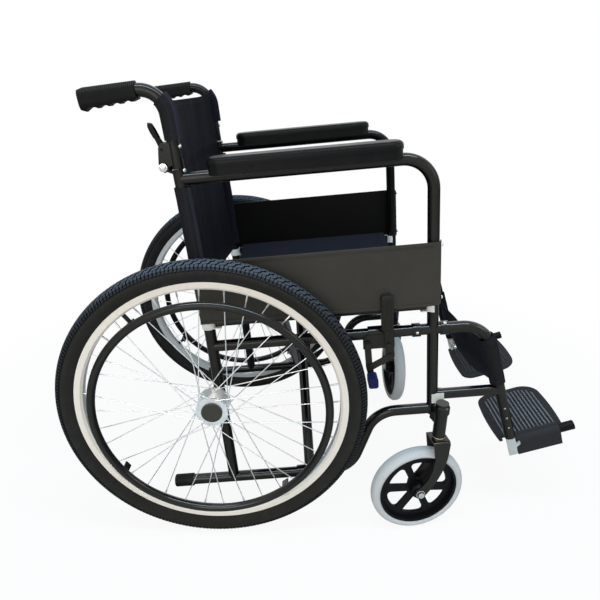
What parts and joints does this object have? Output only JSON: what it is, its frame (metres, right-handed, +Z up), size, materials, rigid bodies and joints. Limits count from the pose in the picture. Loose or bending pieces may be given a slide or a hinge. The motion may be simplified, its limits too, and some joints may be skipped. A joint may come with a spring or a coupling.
{
  "type": "manual wheelchair",
  "caption": "Folding manual wheelchair with spoked rear wheels, push rims, swivel castors, sling seat, fold-down back, hand brakes and flip-up footplates.",
  "frame": {"origin": "on the floor below the middle of the chair's bounding box", "axes": "+Z up, +Y towards the chair's rear, +X towards the sitter's left"},
  "size_m": [0.6624, 1.068, 0.8965],
  "materials": {
    "frame_black": "gloss",
    "panel_grey": "matte",
    "pad_black": "gloss",
    "white_plastic": "satin",
    "black_plastic": "satin",
    "plate_plastic": "satin",
    "grip_black": "matte",
    "tyre_black": "matte",
    "rim_cream": "satin",
    "zinc": "satin",
    "spoke_steel": "bright",
    "castor_grey": "satin",
    "fabric_navy": "woven",
    "shoe_navy": "satin"
  },
  "bodies": {
    "frame_right": {"arm_tube_right": "frame_black", "back_frame_right": "frame_black", "base_tube_right": "frame_black", "tip_right": "grip_black", "side_panel_right": "panel_grey", "arm_pad_right": "pad_black", "white_clips_right": "white_plastic", "hanger_right": "frame_black", "axle_right": "zinc", "brake_bracket_right": "frame_black", "back_sling_lower": "fabric_navy", "calf_strap": "fabric_navy"},
    "frame_left": {"arm_tube_left": "frame_black", "back_frame_left": "frame_black", "base_tube_left": "frame_black", "tip_left": "grip_black", "side_panel_left": "panel_grey", "arm_pad_left": "pad_black", "white_clips_left": "white_plastic", "hanger_left": "frame_black", "axle_left": "zinc", "brake_bracket_left": "frame_black"},
    "brace_a": {"brace_a": "frame_black", "seat_sling": "fabric_navy"},
    "brace_b": {"brace_b": "frame_black"},
    "rear_wheel_right": {"tyre_right": "tyre_black", "rim_right": "rim_cream", "spokes_right": "spoke_steel", "handrim_right": "frame_black"},
    "castor_fork_right": {"castor_fork_right": "frame_black"},
    "castor_wheel_right": {"castor_tyre_right": "castor_grey", "castor_wheel_right": "black_plastic"},
    "foot_tube_right": {"foot_tube_right": "zinc"},
    "footplate_right": {"footplate_right": "plate_plastic"},
    "back_right": {"back_tube_right": "frame_black", "grip_right": "grip_black", "back_sling_upper": "fabric_navy"},
    "latch_right": {"latch_right": "black_plastic"},
    "brake_lever_right": {"brake_lever_right": "frame_black"},
    "brake_link_right": {"brake_link_right": "frame_black"},
    "brake_arm_right": {"brake_arm_right": "frame_black", "brake_shoe_right": "shoe_navy"},
    "rear_wheel_left": {"tyre_left": "tyre_black", "rim_left": "rim_cream", "spokes_left": "spoke_steel", "handrim_left": "frame_black"},
    "castor_fork_left": {"castor_fork_left": "frame_black"},
    "castor_wheel_left": {"castor_tyre_left": "castor_grey", "castor_wheel_left": "black_plastic"},
    "foot_tube_left": {"foot_tube_left": "zinc"},
    "footplate_left": {"footplate_left": "plate_plastic"},
    "back_left": {"back_tube_left": "frame_black", "grip_left": "grip_black"},
    "latch_left": {"latch_left": "black_plastic"},
    "brake_lever_left": {"brake_lever_left": "frame_black"},
    "brake_link_left": {"brake_link_left": "frame_black"},
    "brake_arm_left": {"brake_arm_left": "frame_black", "brake_shoe_left": "shoe_navy"}
  },
  "joints": [
    {"name": "fold", "type": "hinge", "parent": "frame_right", "child": "brace_a", "pos_m": [-0.24556, 0.03531, 0.10746], "axis": [0, -0.9954, 0.0958], "range_deg": [0, 37.45], "deforming": ["seat_sling", "back_sling_lower", "back_sling_upper", "calf_strap"]},
    {"name": "brace_cross", "type": "hinge", "parent": "brace_a", "child": "brace_b", "pos_m": [-0.00696, 0.06578, 0.29355], "axis": [0, -0.9954, 0.0958], "range_deg": [-74.92, 0.01]},
    {"name": "frame_left_level", "type": "hinge", "parent": "brace_b", "child": "frame_left", "pos_m": [0.23164, 0.06019, 0.10506], "axis": [0, -0.9954, 0.0958], "range_deg": [-0.01, 37.46]},
    {"name": "wheel_spin_right", "type": "hinge", "parent": "frame_right", "child": "rear_wheel_right", "pos_m": [-0.29486, 0.23004, 0.304], "axis": [1, 0, 0], "continuous": true},
    {"name": "castor_swivel_right", "type": "hinge", "parent": "frame_right", "child": "castor_fork_right", "pos_m": [-0.28026, -0.22596, 0.229], "axis": [0, 0, 1], "continuous": true},
    {"name": "castor_spin_right", "type": "hinge", "parent": "castor_fork_right", "child": "castor_wheel_right", "pos_m": [-0.28588, -0.19121, 0.1], "axis": [0.9871, 0.1599, 0], "continuous": true},
    {"name": "foot_slide_right", "type": "slide", "parent": "frame_right", "child": "foot_tube_right", "axis": [0, -0.3173, -0.9483], "range_m": [0, 0.05]},
    {"name": "plate_flip_right", "type": "hinge", "parent": "foot_tube_right", "child": "footplate_right", "pos_m": [-0.22696, -0.45548, 0.19341], "axis": [0, -0.9483, 0.3173], "range_deg": [-0.01, 88.05]},
    {"name": "back_fold_right", "type": "hinge", "parent": "frame_right", "child": "back_right", "pos_m": [-0.24556, 0.29548, 0.75932], "axis": [-1, 0, 0], "range_deg": [0, 90]},
    {"name": "latch_press_right", "type": "hinge", "parent": "back_right", "child": "latch_right", "pos_m": [-0.24556, 0.29682, 0.78883], "axis": [-1, 0, 0], "range_deg": [0, 20], "stiffness_Nm_per_rad": 0.4, "springref_deg": -8.59},
    {"name": "brake_lever_turn_right", "type": "hinge", "parent": "frame_right", "child": "brake_lever_right", "pos_m": [-0.26536, -0.11152, 0.42931], "axis": [1, 0, 0], "range_deg": [-35, 2.5]},
    {"name": "brake_link_turn_right", "type": "hinge", "parent": "brake_lever_right", "child": "brake_link_right", "pos_m": [-0.26836, -0.11591, 0.40462], "axis": [1, 0, 0], "range_deg": [-2.27, 31.68]},
    {"name": "brake_arm_turn_right", "type": "hinge", "parent": "frame_right", "child": "brake_arm_right", "pos_m": [-0.26536, -0.07042, 0.42837], "axis": [1, 0, 0], "range_deg": [-18.18, 1.31]},
    {"name": "wheel_spin_left", "type": "hinge", "parent": "frame_left", "child": "rear_wheel_left", "pos_m": [0.28094, 0.23004, 0.304], "axis": [1, 0, 0], "continuous": true},
    {"name": "castor_swivel_left", "type": "hinge", "parent": "frame_left", "child": "castor_fork_left", "pos_m": [0.26634, -0.22596, 0.229], "axis": [0, 0, 1], "continuous": true},
    {"name": "castor_spin_left", "type": "hinge", "parent": "castor_fork_left", "child": "castor_wheel_left", "pos_m": [0.23119, -0.2278, 0.1], "axis": [-0.0523, 0.9986, 0], "continuous": true},
    {"name": "foot_slide_left", "type": "slide", "parent": "frame_left", "child": "foot_tube_left", "axis": [0, -0.3173, -0.9483], "range_m": [0, 0.05]},
    {"name": "plate_flip_left", "type": "hinge", "parent": "foot_tube_left", "child": "footplate_left", "pos_m": [0.21304, -0.45548, 0.19341], "axis": [0, 0.9483, -0.3173], "range_deg": [-0.01, 88.05]},
    {"name": "back_fold_left", "type": "hinge", "parent": "frame_left", "child": "back_left", "pos_m": [0.23164, 0.29548, 0.75932], "axis": [-1, 0, 0], "range_deg": [0, 90]},
    {"name": "latch_press_left", "type": "hinge", "parent": "back_left", "child": "latch_left", "pos_m": [0.23164, 0.29682, 0.78883], "axis": [-1, 0, 0], "range_deg": [0, 20], "stiffness_Nm_per_rad": 0.4, "springref_deg": -8.59},
    {"name": "brake_lever_turn_left", "type": "hinge", "parent": "frame_left", "child": "brake_lever_left", "pos_m": [0.25144, -0.11152, 0.42931], "axis": [1, 0, 0], "range_deg": [-35, 2.5]},
    {"name": "brake_link_turn_left", "type": "hinge", "parent": "brake_lever_left", "child": "brake_link_left", "pos_m": [0.25444, -0.11591, 0.40462], "axis": [1, 0, 0], "range_deg": [-2.27, 31.68]},
    {"name": "brake_arm_turn_left", "type": "hinge", "parent": "frame_left", "child": "brake_arm_left", "pos_m": [0.25144, -0.07042, 0.42837], "axis": [1, 0, 0], "range_deg": [-18.18, 1.31]}
  ],
  "couplings": [
    {"joint": "brace_cross", "follows": "fold", "ratio": -2},
    {"joint": "frame_left_level", "follows": "fold", "ratio": 1},
    {"joint": "plate_flip_right", "follows": "fold", "ratio": 2.3496},
    {"joint": "brake_link_turn_right", "follows": "brake_lever_turn_right", "ratio": -0.905},
    {"joint": "brake_arm_turn_right", "follows": "brake_lever_turn_right", "ratio": 0.519},
    {"joint": "plate_flip_left", "follows": "fold", "ratio": 2.3496},
    {"joint": "brake_link_turn_left", "follows": "brake_lever_turn_left", "ratio": -0.905},
    {"joint": "brake_arm_turn_left", "follows": "brake_lever_turn_left", "ratio": 0.519},
    {"joint": "back_fold_left", "follows": "back_fold_right", "ratio": 1}
  ]
}
